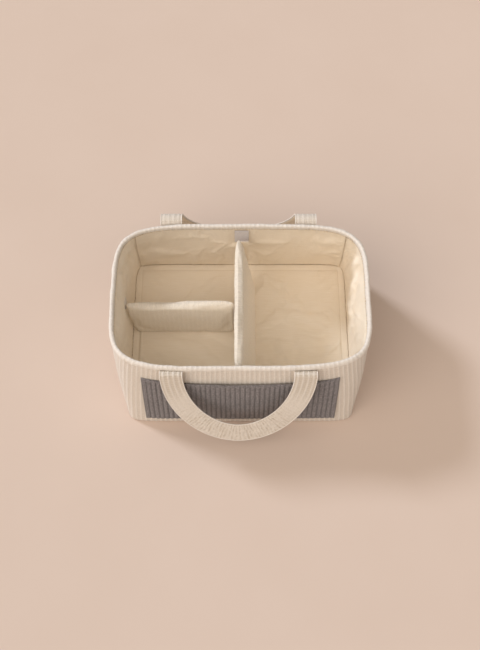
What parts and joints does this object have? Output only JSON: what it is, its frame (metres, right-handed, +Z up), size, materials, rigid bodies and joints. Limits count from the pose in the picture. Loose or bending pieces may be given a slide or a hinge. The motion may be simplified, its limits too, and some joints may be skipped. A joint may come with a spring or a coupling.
{
  "type": "soft storage caddy",
  "caption": "Soft open-top storage caddy with padded lining, lift-out dividers, a front patch pocket and folding strap handles.",
  "frame": {"origin": "centre of the base, on the surface that the caddy stands on", "axes": "+Z up, +X to the right and -Y towards the side with the pocket"},
  "size_m": [0.3818, 0.3561, 0.158],
  "materials": {
    "cream_cloth": "matte ribbed cotton, undyed cream",
    "rim_band": "matte cotton, turned over the rim",
    "lining": "plain cotton lining, warm cream",
    "pocket_cloth": "ribbed grey cotton knit",
    "hook_and_loop": "light grey hook-and-loop tape",
    "foam": "soft white foam, hidden",
    "board": "stiff insert board, hidden"
  },
  "bodies": {
    "root": {"outer_base": "cream_cloth", "outer_wall": "cream_cloth", "rim_binding": "rim_band", "base_board": "board", "base_pad": "foam", "lining_floor": "lining", "wall_foam_right": "foam", "wall_foam_back": "foam", "wall_foam_left": "foam", "wall_foam_front": "foam", "lining_right": "lining", "lining_back": "lining", "lining_left": "lining", "lining_front": "lining", "front_pocket": "pocket_cloth", "front_pocket_hem": "pocket_cloth", "back_loop_tape": "hook_and_loop", "front_loop_tape": "hook_and_loop", "left_loop_tape": "hook_and_loop", "front_handle_end_left": "cream_cloth", "front_handle_end_right": "cream_cloth", "rear_handle_end_left": "cream_cloth", "rear_handle_end_right": "cream_cloth"},
    "front_strap": {"front_handle": "cream_cloth", "front_handle_facing": "lining"},
    "rear_strap": {"rear_handle": "cream_cloth", "rear_handle_facing": "lining"},
    "long_divider": {"long_divider_board": "board", "long_divider_pad": "foam", "long_divider_cover": "cream_cloth", "long_divider_rear_tab": "lining", "long_divider_front_tab": "lining", "long_divider_rear_hook": "hook_and_loop", "long_divider_front_hook": "hook_and_loop", "long_divider_loop": "hook_and_loop"},
    "short_divider": {"short_divider_board": "board", "short_divider_pad": "foam", "short_divider_cover": "cream_cloth", "short_divider_left_tab": "cream_cloth", "short_divider_left_hook": "hook_and_loop", "short_divider_right_tab": "cream_cloth"}
  },
  "joints": [
    {"name": "front_handle_swing", "type": "hinge", "parent": "root", "child": "front_strap", "pos_m": [-0.0026, -0.12716, 0.15435], "axis": [-1, 0, 0], "range_deg": [0, 150]},
    {"name": "rear_handle_swing", "type": "hinge", "parent": "root", "child": "rear_strap", "pos_m": [-0.0026, 0.13352, 0.15691], "axis": [1, 0, 0], "range_deg": [0, 160]},
    {"name": "long_divider_lift", "type": "slide", "parent": "root", "child": "long_divider", "axis": [0, 0, 1], "range_m": [0, 0.16]},
    {"name": "short_divider_lift", "type": "slide", "parent": "root", "child": "short_divider", "axis": [0, 0, 1], "range_m": [0, 0.16]}
  ]
}
